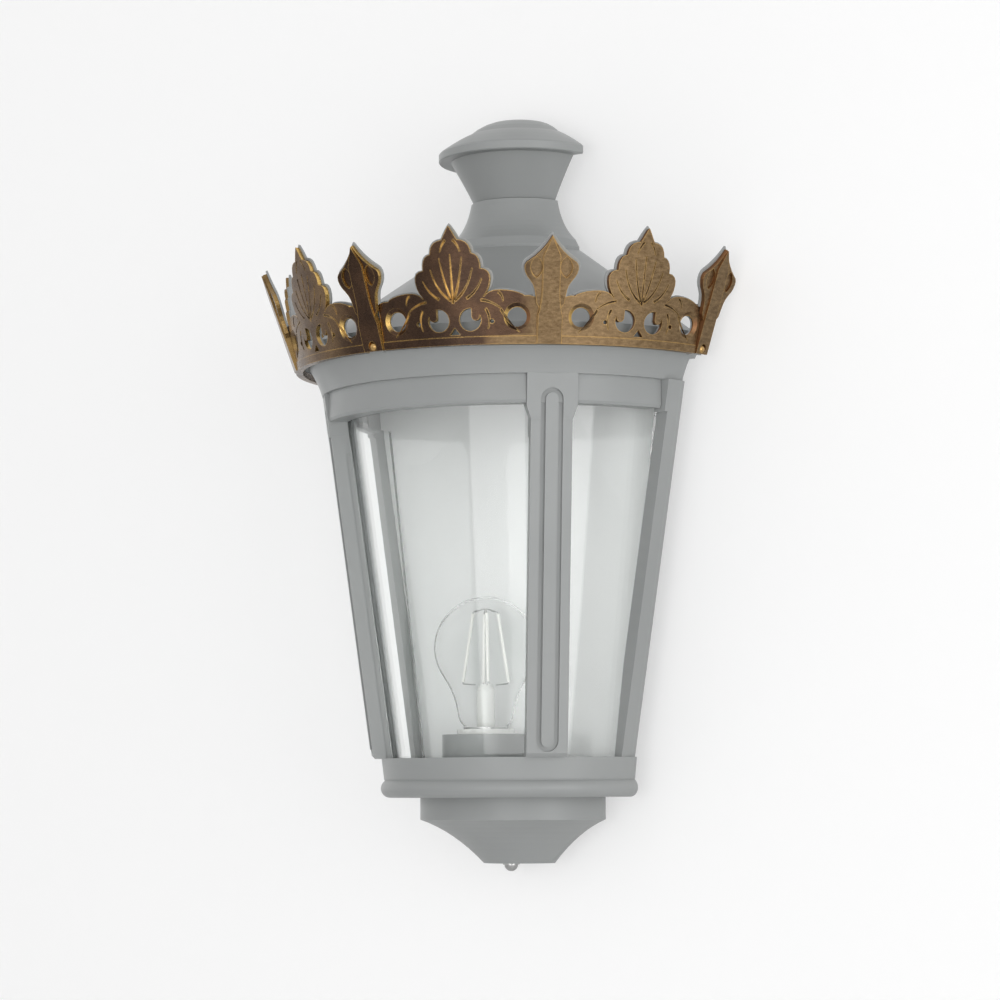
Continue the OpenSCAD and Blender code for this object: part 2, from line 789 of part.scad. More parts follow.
function bulb_outline() = concat(
    [for (a = [90 : -6 : -30]) [bulb_r * cos(a), bulb_mid_z + bulb_r * sin(a)]],
    bend([bulb_r * cos(-34), bulb_mid_z + bulb_r * sin(-34)], [bulb_neck_r + 1.6, 38],
        [bulb_neck_r, 28], 5),
    bend([bulb_neck_r - 0.2, 27], [bulb_neck_r - 1, 21], [cap_shell_r, cap_shell_top + 1], 4));

module bulb_glass() {
    outer = bulb_outline();
    inner = [for (p = outer)
        [max(p[0] - bulb_t, 0), p[1] - bulb_t * max(p[1] - bulb_mid_z, 0) / bulb_r]];
    foot = cap_shell_r - cap_shell_t;
    color([0.95, 0.95, 0.95, 0.3]) lamp_at() rotate_extrude()
        polygon(concat([[0, bulb_mid_z + bulb_r - bulb_t]], [for (i = [1 : len(inner) - 1]) inner[i]] ,
            [[foot - bulb_t, cap_shell_top - 4], [foot, cap_shell_top - 4], [foot, cap_shell_top + 0.2]],
            backwards(outer)));
}

module bulb_cap() {
    low = cap_shell_low;
    line = thread_line(cap_shell_r, low, 8, thread_depth);
    color(steel) lamp_at() rotate_extrude()
        polygon(concat([[9, low - 0.4], [cap_shell_r - 1, low - 0.4]], line,
            [[cap_shell_r, 9], [cap_shell_r, cap_shell_top]],
            [[cap_shell_r - cap_shell_t, cap_shell_top], [cap_shell_r - cap_shell_t, 9]],
            moved(backwards(line), [-cap_shell_t, 0]), [[9, low]]));
}

module bulb_insulator() {
    color([0.12, 0.12, 0.13]) lamp_at() rotate_extrude()
        polygon([[0, cap_shell_low], [9, cap_shell_low], [9, cap_shell_low - 0.4],
            [11.6, cap_shell_low - 0.4], [5, contact_top + 1.6], [0, contact_top + 1.6]]);
}

module bulb_tip() {
    color(steel) lamp_at() rotate_extrude()
        polygon(concat([[0, contact_top + 1.6], [4.6, contact_top + 1.6]],
            bend([4.6, contact_top + 1.4], [4, contact_top], [1.5, contact_top], 4), [[0, contact_top]]));
}

module bulb_stem() {
    color([0.95, 0.95, 0.95]) lamp_at() rotate_extrude()
        polygon([[0, cap_shell_low], [4, cap_shell_low], [4, 10], [5.2, 14], [5.2, stem_top - 3.4],
            [3.4, stem_top], [0, stem_top]]);
}

// Four filament rods that lean in towards the top
function cage_point(k, high) =
    let (a = 45 + 360 * k / filament_count, r = high ? cage_high_r : cage_low_r)
    [r * cos(a), r * sin(a), high ? filament_high : filament_low];

// Round rod between two points
module rod(a, b, r) {
    v = b - a;
    translate(a) rotate([0, acos(v[2] / norm(v)), atan2(v[1], v[0])])
        cylinder(r = r, h = norm(v), $fn = 24);
}

module filaments() {
    color([1, 0.95, 0.8]) lamp_at() for (k = [0 : filament_count - 1])
        rod(cage_point(k, false), cage_point(k, true), filament_r);
}

module filament_wires() {
    head = filament_high + 3.2;
    color(steel) lamp_at() difference() {
        union() {
            for (k = [0 : filament_count - 1]) {
                low = cage_point(k, false);
                high = cage_point(k, true);
                rod([0, 0, stem_top - 1], low - [0, 0, 1], wire_r);
                rod([0, 0, head - 0.2], high + [0, 0, 1], wire_r);
                rod(low - [0, 0, 1.2], low, wire_r);
                rod(high, high + [0, 0, 1.2], wire_r);
            }
            rod([0, 0, stem_top - 1], [0, 0, head], wire_r);
        }
        cylinder(r = 6, h = stem_top);
    }
}

// Roof and chimney

function cove_line() = bend([cove_foot_r, ring_top], [cove_foot_r + 2.6, ring_top + 9.5],
    [eave_r, ring_top + cove_h], 8);

function roof_outline() = concat([[0, ring_top]], cove_line(),
    [[eave_r, eave_z], [collar_r, collar_z], [0, collar_z]]);

module lug_blocks() {
    for (side = [-1, 1])
        translate([side * (eave_r - 5) - 6, -standoff - 8, crown_z - 1]) cube([12, 13, 11]);
}

module roof_canopy() {
    under = collar_z - roof_drop;
    inner = concat([[0, ring_top - 1], [cove_foot_r - cast_t, ring_top - 1]],
        moved(cove_line(), [-cast_t, 0]),
        [[eave_r - cast_t, eave_z - roof_drop + cast_t * roof_slope], [collar_r, under],
        [vent_r, under], [vent_r, collar_z + 1], [0, collar_z + 1]]);
    color(grey) difference() {
        union() {
            half_shell(roof_outline(), inner, back_t);
            // Lugs for the crown's end screws
            intersection() {
                translate([0, -standoff, 0]) rotate_extrude() polygon(roof_outline());
                lug_blocks();
            }
        }
        crown_screw_places() translate([0, 0, -12]) cylinder(r = crown_screw_r, h = 20);
        strap_screw_places() translate([0, 0, -strap_screw_l]) cylinder(r = 1.6, h = 20);
    }
}

// Straps behind the back plate that hold the roof down
module strap_screw_places() {
    for (side = [-1, 1]) for (z = strap_z)
        translate([side * strap_x, -standoff + strap_t, z]) rotate([-90, 0, 0]) children();
}

module roof_straps() {
    low = strap_z[0] - strap_w / 2;
    color(grey) difference() {
        for (side = [-1, 1]) translate([side * strap_x - strap_w / 2, -standoff, low])
            cube([strap_w, strap_t, strap_z[1] + strap_w / 2 - low]);
        strap_screw_places() translate([0, 0, -strap_screw_l]) cylinder(r = 1.6, h = 20);
    }
}

module roof_screws() {
    color(steel) strap_screw_places() dome_screw(1.5, strap_screw_l, 2.8, 1.8);
}

module chimney_collar() {
    side = bend([collar_r - 2.8, collar_z + 6.5], [31.8, collar_z + 15.5], [29, collar_z + collar_h], 8);
    outer = concat([[0, collar_z], [collar_r, collar_z], [collar_r, collar_z + 1.6],
        [collar_r - 1.6, collar_z + 4.4]], side, [[0, collar_z + collar_h]]);
    inner = concat([[0, collar_z - 1], [vent_r + 8, collar_z - 1], [vent_r + 8, collar_z + 4]],
        moved(side, [-cast_t - 0.5, 0]), [[29 - cast_t - 0.5, collar_z + collar_h + 1],
        [0, collar_z + collar_h + 1]]);
    color(grey) half_shell(outer, inner, cast_t);
}

module chimney_cap() {
    brim = cap_z + 25.5;
    neck = bend([27.3, cap_z], [32, cap_z + 10.5], [41, brim], 8);
    top = concat(bend([cap_r - 1.2, brim + 5.8], [37, brim + 13], [30, brim + 16], 4),
        bend([30, brim + 16], [20, cap_top + 0.3], [8, cap_top], 5));
    outer = concat([[0, cap_z]], neck, [[cap_r - 0.6, brim], [cap_r, brim + 0.6], [cap_r, brim + 4.6]],
        top, [[0, cap_top]]);
    inner = concat([[0, cap_z - 1], [27.3 - cast_t, cap_z - 1]], moved(neck, [-cast_t, 0]),
        [[30, brim + 9], [22, brim + 14], [0, brim + 18]]);
    color(grey) difference() {
        union() {
            half_shell(outer, inner, cast_t);
            // Boss for the stud
            translate([0, -standoff - stud_y, brim - 6]) cylinder(r = 6, h = 24);
            translate([-4, -standoff - stud_y, brim - 6]) cube([8, stud_y - 1, 24]);
        }
        translate([0, -standoff - stud_y, brim - 8]) cylinder(r = stud_r, h = 20);
    }
}

module chimney_stud() {
    low = collar_z - 16;
    color(steel) translate([0, -standoff - stud_y, low]) cylinder(r = stud_r, h = cap_z + 36 - low);
}

module chimney_strap() {
    color(steel) difference() {
        translate([-vent_r - 8, -standoff - stud_y - 7, collar_z - roof_drop - 3])
            cube([2 * vent_r + 16, 14, 3]);
        translate([0, -standoff - stud_y, collar_z - 20]) cylinder(r = stud_r + 0.2, h = 40);
    }
}

module chimney_nut() {
    color(steel) translate([0, -standoff - stud_y, collar_z - roof_drop - 3]) difference() {
        union() {
            translate([0, 0, -1]) cylinder(r = 6, h = 1);
            translate([0, 0, -6]) cylinder(r = 5.8, h = 5, $fn = 6);
        }
        translate([0, 0, -10]) cylinder(r = stud_r, h = 20);
    }
}

// Crown

function crown_at(z) = crown_r + crown_lean * (z - crown_z);

// Layer of the crown's cone, from a depth d to a depth e behind its outer face
module crown_layer(d, e, from = -90, to = 90, low = 0, high = 70) {
    part_turn(from, to) polygon([
        [crown_at(crown_z + low) - e, crown_z + low], [crown_at(crown_z + low) - d, crown_z + low],
        [crown_at(crown_z + high) - d, crown_z + high], [crown_at(crown_z + high) - e, crown_z + high]]);
}

// Right half of a leaf, from its tip down to the scroll, grown by d
function leaf_half(d = 0) = concat([[0, leaf_tip + 1.5 * d]],
    bend([0.6 + 0.3 * d, leaf_tip - 0.8 + 1.3 * d], [2.4 + d, 61.5 + d],
        [4.3 + 0.8 * d, 57.9 + d], 3),
    bend([4.7 + 0.8 * d, 57.7 + d], [11.4 + d, 57.4 + d], [11.9 + d, 50.4 + 0.7 * d], 5),
    bend([12 + d, 50.2 + 0.7 * d], [17.1 + d, 49.4 + d], [16.7 + d, 41.9 + 0.6 * d], 5),
    bend([16.6 + d, 41.7 + 0.6 * d], [22.4 + d, 41.4 + d], [21.8 + d, 35.6 + 0.3 * d], 4),
    bend([21.8 + d, 35.6 + 0.3 * d], [21.2 + d, 30 + d], [17.4 + d, 26.3 + d], 3));

// Right half of a scroll, from the leaf to the edge of the bay, grown by d
function scroll_half(d = 0, foot = 0) = concat(
    bend([17.8 + d, 26.2 + d], [20.5 + d, 30 + d], [27, 29.8 + d], 4),
    bend([27.2, 29.8 + d], [34.5, 29.6 + d], [39.3 + 0.4 * d, 27.2 + d], 4),
    bend([40 + 0.4 * d, 26.4 + d], [44, 27.2 + d], [48.4, 24 + d], 3),
    [[53, 24 + d], [53, foot]]);

module bay_outline() {
    half = concat(leaf_half(), scroll_half());
    polygon(concat(half, flipped(half)));
}

// Through holes of one bay
module bay_holes() {
    for (side = [-1, 1]) {
        rotate([0, 0, side * leaf_hole_a]) radial(crown_near, crown_far) difference() {
            translate([0, crown_z + leaf_hole_z]) circle(r = leaf_hole_r, $fn = 48);
            translate([side * 3.2, crown_z + leaf_hole_z + 1.8]) circle(r = 2.3, $fn = 32);
            translate([side * 3.2 - 2.3, crown_z + leaf_hole_z + 1.8]) square([4.6, 7]);
            translate([side * 5.2 - 1.5, crown_z + leaf_hole_z + 2.6]) square([3, 5]);
        }
        rotate([0, 0, side * ring_hole_a]) radial(crown_near, crown_far)
            translate([0, crown_z + ring_hole_z]) circle(r = ring_hole_r, $fn = 48);
        rotate([0, 0, side * 9]) radial(crown_near, crown_far) translate([0, crown_z + 12.6])
            circle(r = 1.2, $fn = 24);
    }
    radial(crown_near, crown_far) polygon([[-3.2, crown_z + 5.6], [3.2, crown_z + 5.6], [0, crown_z + 9.6]]);
}

// Dished ring round each ring hole
module bay_dishes() {
    for (side = [-1, 1]) rotate([0, 0, side * ring_hole_a])
        translate([0, -crown_at(crown_z + ring_hole_z), crown_z + ring_hole_z])
            rotate([crown_tilt - 90, 0, 0]) translate([0, 0, -1])
                cylinder(h = 1 + dish_hole_depth, r2 = ring_hole_r, r1 = dish_hole_r + 1.2);
}

// Engraved lines of one bay: the leaf's veins and the scrolls' folds
module bay_veins() {
    root = [0, 23];
    w = vein_w;
    translate([0, crown_z]) {
        polygon(vein(root, [0, 36], [0, 50], w));
        for (side = [-1, 1]) {
            polygon(flip_if(side, vein(root + [0.4, 2], [4, 31], [6.6, 48], w)));
            polygon(flip_if(side, vein(root + [1.2, 1.5], [9.5, 30], [12.2, 42], w)));
            polygon(flip_if(side, vein(root + [8, 2.5], [14, 28.5], [17.2, 36], w)));
            polygon(flip_if(side, vein([2.3, 57.6], [4.9, 55], [5.8, 51.2], w)));
            polygon(flip_if(side, vein([16, 24.5], [22.5, 23.5], [27, 19.5], w)));
            polygon(flip_if(side, vein([26.8, 19], [29, 14], [36, 6.5], w)));
            polygon(flip_if(side, vein([26, 28.6], [28.4, 26.8], [28.2, 23.4], w)));
            polygon(flip_if(side, vein([18.4, 19.6], [21.4, 15], [19, 8.6], w)));
        }
    }
}

// Outline as it is for side 1, mirrored for side -1
function flip_if(side, p) = side > 0 ? p : flipped(p);

// Spear: outlines lie on its leaning face, with the crown's lower edge at zero, grown by d
function spear_half(d = 0) = concat([[0, 61.4 + 1.5 * d]],
    bend([0.5 + 0.3 * d, 60.6 + 1.3 * d], [4.6 + d, 53 + d], [12.2 + d, 47.6 + d], 5),
    bend([12.4 + d, 47.5 + d], [15.6 + d, 46 + 0.5 * d], [15.2 + d, 42.6], 3),
    bend([15.1 + d, 42.3], [14.6 + d, 39], [11.6 + d, 35.8], 3),
    bend([11.4 + d, 35.5], [9 + d, 33], [8.4 + d, 27], 3),
    [[7.8 + d, 23], [5, 19]]);

function strip_half(foot) = concat([[0, 61], [strip_head_w / 2, 50], [strip_head_w / 2, 30]],
    bend([strip_head_w / 2, 30], [5.2, 22], [foot / 2, 16], 3), [[foot / 2, 0]]);

module on_spear_face() {
    translate([0, -crown_r, crown_z]) rotate([90 + spear_tilt, 0, 0]) children();
}

module spear_shape(foot = strip_foot_w) {
    head = concat(spear_half(), [[0, 19]]);
    strip = strip_half(foot);
    difference() {
        union() {
            on_spear_face() translate([0, 0, -crown_t]) linear_extrude(crown_t)
                polygon(concat(head, flipped(head)));
            on_spear_face() translate([0, 0, -crown_t]) linear_extrude(crown_t + strip_t)
                polygon(concat(strip, flipped(strip)));
        }
        // Hollows beside the strip, in the head
        for (side = [-1, 1]) on_spear_face() translate([side * 8.4, 43.5, -1.2])
            intersection() {
                translate([side * 3.6, 0, 0]) cylinder(r = 7, h = 4);
                translate([-side * 3.6, 0, 0]) cylinder(r = 7, h = 4);
            }
        // Cut level along the lower edge
        translate([-40, -200, crown_z - 20]) cube([80, 200, 20]);
    }
}

// Right-hand casting: two bays and the spear between them
module crown_casting() {
    inner = crown_t + crown_back_t;
    from = joint_half(strip_foot_w);
    to = end_angle - joint_half(end_foot_w);
    bays = [22.5, 67.5];
    color(brass) difference() {
        union() {
            intersection() {
                crown_layer(0, crown_t, from, to);
                union() {
                    for (a = bays) round_at(a) radial(crown_near, crown_far)
                        translate([0, crown_z]) bay_outline();
                }
            }
            crown_layer(-rim_proud, inner, from, to, 0, rim_h);
            round_at(bay) spear_shape();
        }
        for (a = bays) round_at(a) {
            bay_holes();
            bay_dishes();
        }
        round_at(bay) backing_stem(4 * crown_back_t);
        intersection() {
            crown_layer(-2, vein_depth);
            for (a = bays) round_at(a) radial(crown_near, crown_far) bay_veins();
        }
    }
}

// Angle from a spear's middle to the end of the casting beside its foot
function joint_half(foot) = asin((foot / 2 + joint_gap) / crown_r);

module crown_left() {
    mirror([1, 0, 0]) crown_casting();
}

module crown_right() {
    crown_casting();
}

module crown_screw_places() {
    for (a = [-end_angle, 0, end_angle]) round_at(a) translate([0, -crown_r - strip_t, crown_screw_z])
        rotate([90, 0, 0]) children();
}

module loose_spear(angle) {
    color(brass) difference() {
        round_at(angle) spear_shape(angle == 0 ? strip_foot_w : end_foot_w);
        crown_screw_places() {
            translate([0, 0, -12]) cylinder(r = crown_screw_r + 0.1, h = 20);
            cylinder(r = crown_head_r + 0.1, h = 5);
        }
    }
}

module crown_spear_front() {
    loose_spear(0);
}

module crown_spear_left() {
    loose_spear(-end_angle);
}

module crown_spear_right() {
    loose_spear(end_angle);
}

// Narrow stem of the painted sheet, behind a spear's strip
module backing_stem(t) {
    on_spear_face() translate([-stem_w / 2, 6, -crown_t - t]) cube([stem_w, 22, t]);
}

// Painted sheet: the same outlines, a little taller and wider
module crown_backing() {
    inner = crown_t + crown_back_t;
    leaf = concat(leaf_half(edge_grow), scroll_half(edge_grow, rim_h));
    spear = spear_half(edge_grow);
    tab = joint_half(end_foot_w) - 0.5;
    color(grey) difference() {
        union() {
            intersection() {
                crown_layer(crown_t, inner, -end_angle - tab, end_angle + tab);
                union() {
                    for (a = [-67.5, -22.5, 22.5, 67.5]) round_at(a) radial(crown_near, crown_far)
                        translate([0, crown_z]) polygon(concat(leaf, flipped(leaf)));
                    // Tabs under the screws
                    for (a = [-end_angle, 0, end_angle]) part_turn(a - tab, a + tab)
                        translate([crown_r - 10, crown_z - 1]) square([20, rim_h + 3]);
                }
            }
            for (a = [-end_angle, -bay, 0, bay, end_angle]) round_at(a) {
                on_spear_face() translate([0, 0, -inner]) linear_extrude(crown_back_t) difference() {
                    polygon(concat(spear, flipped(spear)));
                    translate([-20, 0]) square([40, 26.5]);
                }
                backing_stem(crown_back_t);
            }
        }
        for (a = [-67.5, -22.5, 22.5, 67.5]) round_at(a) bay_holes();
        crown_screw_places() translate([0, 0, -12]) cylinder(r = crown_screw_r + 0.1, h = 20);
    }
}

module crown_spacers() {
    reach = crown_r - crown_t - crown_back_t - 0.05;
    color(steel) difference() {
        intersection() {
            translate([0, -standoff, 0]) rotate_extrude() polygon([[0, crown_z], [reach, crown_z],
                [reach + 10 * crown_lean, crown_z + 10], [0, crown_z + 10]]);
            crown_screw_places() translate([0, 0, -12]) cylinder(r = 2.5, h = 14);
        }
        translate([0, -standoff, 0]) rotate_extrude() polygon(roof_outline());
        crown_screw_places() translate([0, 0, -14]) cylinder(r = crown_screw_r + 0.1, h = 20);
    }
}

module crown_screws() {
    color(steel) crown_screw_places() dome_screw(crown_screw_r, 11, crown_head_r, 1.6);
}

wall_bracket();
bracket_screws();
cable_grommets();
back_plate();
reflector();
base_pan();
dish();
dish_bracket();
dish_screw();
dish_washer();
terminal_block();
terminal_screws();
supply_leads();
earth_lead();
earth_screw();
top_ring();
rib_left();
rib_right();
post_left();
post_right();
foot_pins();
rib_screws();
post_screws();
glass_front();
glass_left();
glass_right();
glass_clips();
clip_screws();
lampholder_cup();
lampholder();
lampholder_screws();
socket_shell();
centre_contact();
bulb_glass();
bulb_cap();
bulb_insulator();
bulb_tip();
bulb_stem();
filaments();
filament_wires();
roof_canopy();
roof_straps();
roof_screws();
chimney_collar();
chimney_cap();
chimney_stud();
chimney_strap();
chimney_nut();
crown_left();
crown_right();
crown_spear_front();
crown_spear_left();
crown_spear_right();
crown_backing();
crown_spacers();
crown_screws();
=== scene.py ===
import json
import math

import bmesh
import bpy
from mathutils import Matrix, Vector


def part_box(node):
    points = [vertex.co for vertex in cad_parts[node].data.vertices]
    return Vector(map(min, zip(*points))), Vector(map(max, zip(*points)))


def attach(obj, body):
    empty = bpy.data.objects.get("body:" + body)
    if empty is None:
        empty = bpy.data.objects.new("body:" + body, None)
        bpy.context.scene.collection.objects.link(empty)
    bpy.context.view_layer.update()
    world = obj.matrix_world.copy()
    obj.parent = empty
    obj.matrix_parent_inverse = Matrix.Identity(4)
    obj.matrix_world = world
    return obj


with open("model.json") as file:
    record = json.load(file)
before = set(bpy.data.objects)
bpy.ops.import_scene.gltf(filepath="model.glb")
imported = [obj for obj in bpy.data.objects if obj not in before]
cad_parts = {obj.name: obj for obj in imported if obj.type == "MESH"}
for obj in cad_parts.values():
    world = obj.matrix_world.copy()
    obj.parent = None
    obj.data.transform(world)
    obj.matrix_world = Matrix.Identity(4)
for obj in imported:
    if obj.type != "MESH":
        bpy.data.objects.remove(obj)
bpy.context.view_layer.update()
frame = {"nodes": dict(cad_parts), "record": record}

# Places on the crown, in metres: its lower edge lies on a cone round the lantern's axis
MM = 0.001
AXIS_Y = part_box("back_plate")[1].y
CROWN_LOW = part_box("crown_left")[0].z
CROWN_R = 133.82 * MM
CROWN_LEAN = 0.235
BAYS = (-67.5, -22.5, 22.5, 67.5)

# Where the brass's painted reflection and painted highlights change, in degrees round the axis: each pair is
# a start and an end
EDGE_HIGHLIGHT_FROM = (-45, -15)
BROWN_TO_DARK = (-13, -4)
DARK_TO_PALE = (29, 33)
PALE_LATER_ABOVE_RIM = 9
RIM_TOP = CROWN_LOW + 5 * MM
VEIN_HIGHLIGHT_FROM = (-14, -7)
VEIN_HIGHLIGHT_TO = (22, 27)


# Small helpers for materials

class Nodes:
    """A material's node tree, with short calls to add and join nodes."""

    def __init__(self, name):
        self.material = bpy.data.materials.new(name)
        self.material.use_nodes = True
        self.tree = self.material.node_tree
        self.tree.nodes.clear()
        self.output = self.add("ShaderNodeOutputMaterial")

    def add(self, kind, values=None, **settings):
        node = self.tree.nodes.new(kind)
        for name, value in settings.items():
            setattr(node, name, value)
        for socket, value in (values or {}).items():
            node.inputs[socket].default_value = value
        return node

    def join(self, source, target):
        self.tree.links.new(source, target)

    def shader(self, **values):
        """The Principled shader, joined to the output."""
        node = self.add("ShaderNodeBsdfPrincipled")
        for name, value in values.items():
            node.inputs[name.replace("_", " ")].default_value = value
        self.join(node.outputs[0], self.output.inputs["Surface"])
        return node

    def place(self, scale):
        """The point's place on the object, in metres, stretched by scale."""
        coordinates = self.add("ShaderNodeTexCoord")
        mapping = self.add("ShaderNodeMapping", {"Scale": scale})
        self.join(coordinates.outputs["Object"], mapping.inputs["Vector"])
        return mapping.outputs[0]

    def on_cylinder(self):
        """The point's angle round the lantern's axis, its x, its distance before the axis, its height."""
        coordinates = self.add("ShaderNodeTexCoord")
        split = self.add("ShaderNodeSeparateXYZ")
        self.join(coordinates.outputs["Object"], split.inputs[0])
        x, y, z = split.outputs
        forward = self.math("SUBTRACT", AXIS_Y, y)
        return self.math("ARCTAN2", x, forward), x, forward, z

    def noise(self, scale, detail=3.0, roughness=0.5, stretch=(1, 1, 1)):
        node = self.add("ShaderNodeTexNoise", {"Scale": scale, "Detail": detail, "Roughness": roughness})
        self.join(self.place(stretch), node.inputs["Vector"])
        return node.outputs["Fac"]

    def ramp(self, value, low, high, start=0.0, end=1.0):
        """Maps value from low..high to start..end."""
        node = self.add("ShaderNodeMapRange",
            {"From Min": low, "From Max": high, "To Min": start, "To Max": end})
        self.join(value, node.inputs["Value"])
        return node.outputs[0]

    def ramp_round(self, around, span, start=0.0, end=1.0):
        """Maps an angle round the axis, from span in degrees to start..end."""
        return self.ramp(around, math.radians(span[0]), math.radians(span[1]), start, end)

    def math(self, operation, a, b=0.0):
        node = self.add("ShaderNodeMath", operation=operation, use_clamp=False)
        for socket, value in ((0, a), (1, b)):
            if isinstance(value, (int, float)):
                node.inputs[socket].default_value = value
            else:
                self.join(value, node.inputs[socket])
        return node.outputs[0]

    def mix(self, factor, a, b):
        """Colour a at factor 0, colour b at factor 1. Each may be a colour or an output."""
        node = self.add("ShaderNodeMix", data_type="RGBA")
        for socket, value in ((0, factor), (6, a), (7, b)):
            if isinstance(value, (int, float)):
                node.inputs[socket].default_value = value
            elif isinstance(value, tuple):
                node.inputs[socket].default_value = (*value[:3], 1)
            else:
                self.join(value, node.inputs[socket])
        return node.outputs[2]

    def bump(self, height, strength, distance):
        node = self.add("ShaderNodeBump", {"Strength": strength, "Distance": distance})
        self.join(height, node.inputs["Height"])
        return node.outputs[0]

    def edges(self, radius, low, high):
        """One on corners rounder than radius, nought on open faces."""
        bevel = self.add("ShaderNodeBevel", {"Radius": radius}, samples=6)
        geometry = self.add("ShaderNodeNewGeometry")
        dot = self.add("ShaderNodeVectorMath", operation="DOT_PRODUCT")
        self.join(bevel.outputs[0], dot.inputs[0])
        self.join(geometry.outputs["Normal"], dot.inputs[1])
        return self.ramp(dot.outputs["Value"], high, low)


def grey_paint():
    """Satin grey paint with a faint orange peel and slightly paler corners from a painted highlight."""
    m = Nodes("grey paint")
    shader = m.shader(Roughness=0.4)
    cloud = m.ramp(m.noise(14.0, 4.0), 0.3, 0.7)
    # Painted highlight: the corners are slightly paler.
    edge_highlight = m.edges(0.0008, 0.7, 0.97)
    colour = m.mix(cloud, (0.272, 0.282, 0.280), (0.292, 0.301, 0.298))
    colour = m.mix(m.math("MULTIPLY", edge_highlight, 0.3), colour, (0.40, 0.41, 0.41))
    m.join(colour, shader.inputs["Base Color"])
    m.join(m.ramp(m.noise(40.0), 0.2, 0.8, 0.32, 0.46), shader.inputs["Roughness"])
    m.join(m.bump(m.noise(1400.0, 2.0), 0.12, 0.0002), shader.inputs["Normal"])
    return m.material


def white_enamel():
    """White sheet with a polished clear finish that mirrors the frame faintly."""
    m = Nodes("white enamel")
    shader = m.shader(IOR=1.9)
    m.join(m.mix(m.noise(9.0), (0.95, 0.955, 0.95), (0.97, 0.97, 0.965)), shader.inputs["Base Color"])
    m.join(m.ramp(m.noise(60.0), 0.2, 0.8, 0.03, 0.07), shader.inputs["Roughness"])
    m.join(m.bump(m.noise(7.0), 0.02, 0.001), shader.inputs["Normal"])
    return m.material


def aged_brass():
    """Patinated brass with a painted reflection: glossy and dark in front, browner to the left, pale and
    granular to the right.

    Corners and the sides of the cuts carry a painted highlight: golden where they face right, coppery where
    they face left, and fainter to the left of the front.
    """
    m = Nodes("aged brass")
    shader = m.shader(Metallic=0.9)
    around, x, forward, height = m.on_cylinder()
    grain = m.noise(1500.0, 4.0, 0.65)
    patch = m.noise(45.0, 6.0, 0.65)
    fleck = m.noise(260.0, 5.0, 0.7, stretch=(1, 1, 2.5))

    # Painted reflection: the brass is dark in front, brown to the left and pale to the right, by its angle
    # round the axis.
    dark = m.mix(m.ramp(patch, 0.4, 0.62), (0.045, 0.026, 0.018), (0.085, 0.047, 0.028))
    brown = m.mix(m.ramp(patch, 0.35, 0.65), (0.085, 0.050, 0.028), (0.20, 0.125, 0.062))
    pale = m.mix(m.ramp(fleck, 0.35, 0.65), (0.15, 0.096, 0.047), (0.31, 0.21, 0.11))
    to_front = m.ramp_round(around, BROWN_TO_DARK)
    above_rim = m.ramp(height, RIM_TOP - MM, RIM_TOP + MM, 0.0, math.radians(PALE_LATER_ABOVE_RIM))
    to_right = m.ramp_round(m.math("SUBTRACT", around, above_rim), DARK_TO_PALE)
    body = m.mix(to_right, m.mix(to_front, brown, dark), pale)
    body = m.mix(m.ramp(grain, 0.35, 0.7, 0.0, 0.45), body, (0.06, 0.036, 0.02))

    # Painted highlight on corners and on the sides of the cuts, golden or coppery by which way the face
    # turns.
    geometry = m.add("ShaderNodeNewGeometry")
    facing = m.add("ShaderNodeSeparateXYZ")
    m.join(geometry.outputs["True Normal"], facing.inputs[0])
    level = m.math("SQRT", m.math("ADD", m.math("MULTIPLY", x, x), m.math("MULTIPLY", forward, forward)))
    sideways = m.math("DIVIDE", m.math("ADD", m.math("MULTIPLY", facing.outputs[0], forward),
        m.math("MULTIPLY", facing.outputs[1], x)), level)
    golden = m.ramp(sideways, -0.35, 0.2)
    cut = m.ramp(m.math("ABSOLUTE", sideways), 0.4, 0.6)
    corner_highlight_mask = m.math("MAXIMUM", m.edges(0.0009, 0.75, 0.98), cut)
    highlight_colour = m.mix(golden, (0.23, 0.11, 0.05), (0.70, 0.46, 0.15))
    edge_highlight = m.math("MULTIPLY", corner_highlight_mask, m.ramp(patch, 0.3, 0.5, 0.45, 0.95))
    edge_highlight = m.math("MULTIPLY", edge_highlight, m.ramp_round(around, EDGE_HIGHLIGHT_FROM, 0.2, 1.0))
    m.join(m.mix(edge_highlight, body, highlight_colour), shader.inputs["Base Color"])
    m.join(m.mix(to_right, m.ramp(fleck, 0.3, 0.7, 0.2, 0.34), m.ramp(fleck, 0.3, 0.7, 0.36, 0.55)),
        shader.inputs["Roughness"])
    m.join(m.bump(fleck, 0.22, 0.0003), shader.inputs["Normal"])
    return m.material


def gold_line():
    """Lines along the leaves' veins with a painted highlight: golden on the left half of the front leaf,
    dull elsewhere.
    """
    m = Nodes("gold line")
    shader = m.shader(Metallic=1.0, Roughness=0.28)
    around, _, _, _ = m.on_cylinder()
    # Painted highlight: the veins are golden only in one span round the axis and dark elsewhere.
    gold = m.mix(m.ramp(m.noise(120.0, 4.0), 0.35, 0.62), (0.16, 0.07, 0.02), (0.66, 0.38, 0.11))
    dark = m.mix(m.ramp(m.noise(200.0, 4.0), 0.45, 0.7), (0.055, 0.034, 0.02), (0.30, 0.20, 0.09))
    left_of_leaf = m.ramp_round(around, VEIN_HIGHLIGHT_FROM)
    right_of_leaf = m.ramp_round(around, VEIN_HIGHLIGHT_TO)
    m.join(m.mix(right_of_leaf, m.mix(left_of_leaf, dark, gold), dark), shader.inputs["Base Color"])
    m.join(m.bump(m.noise(900.0), 0.15, 0.0001), shader.inputs["Normal"])
    return m.material


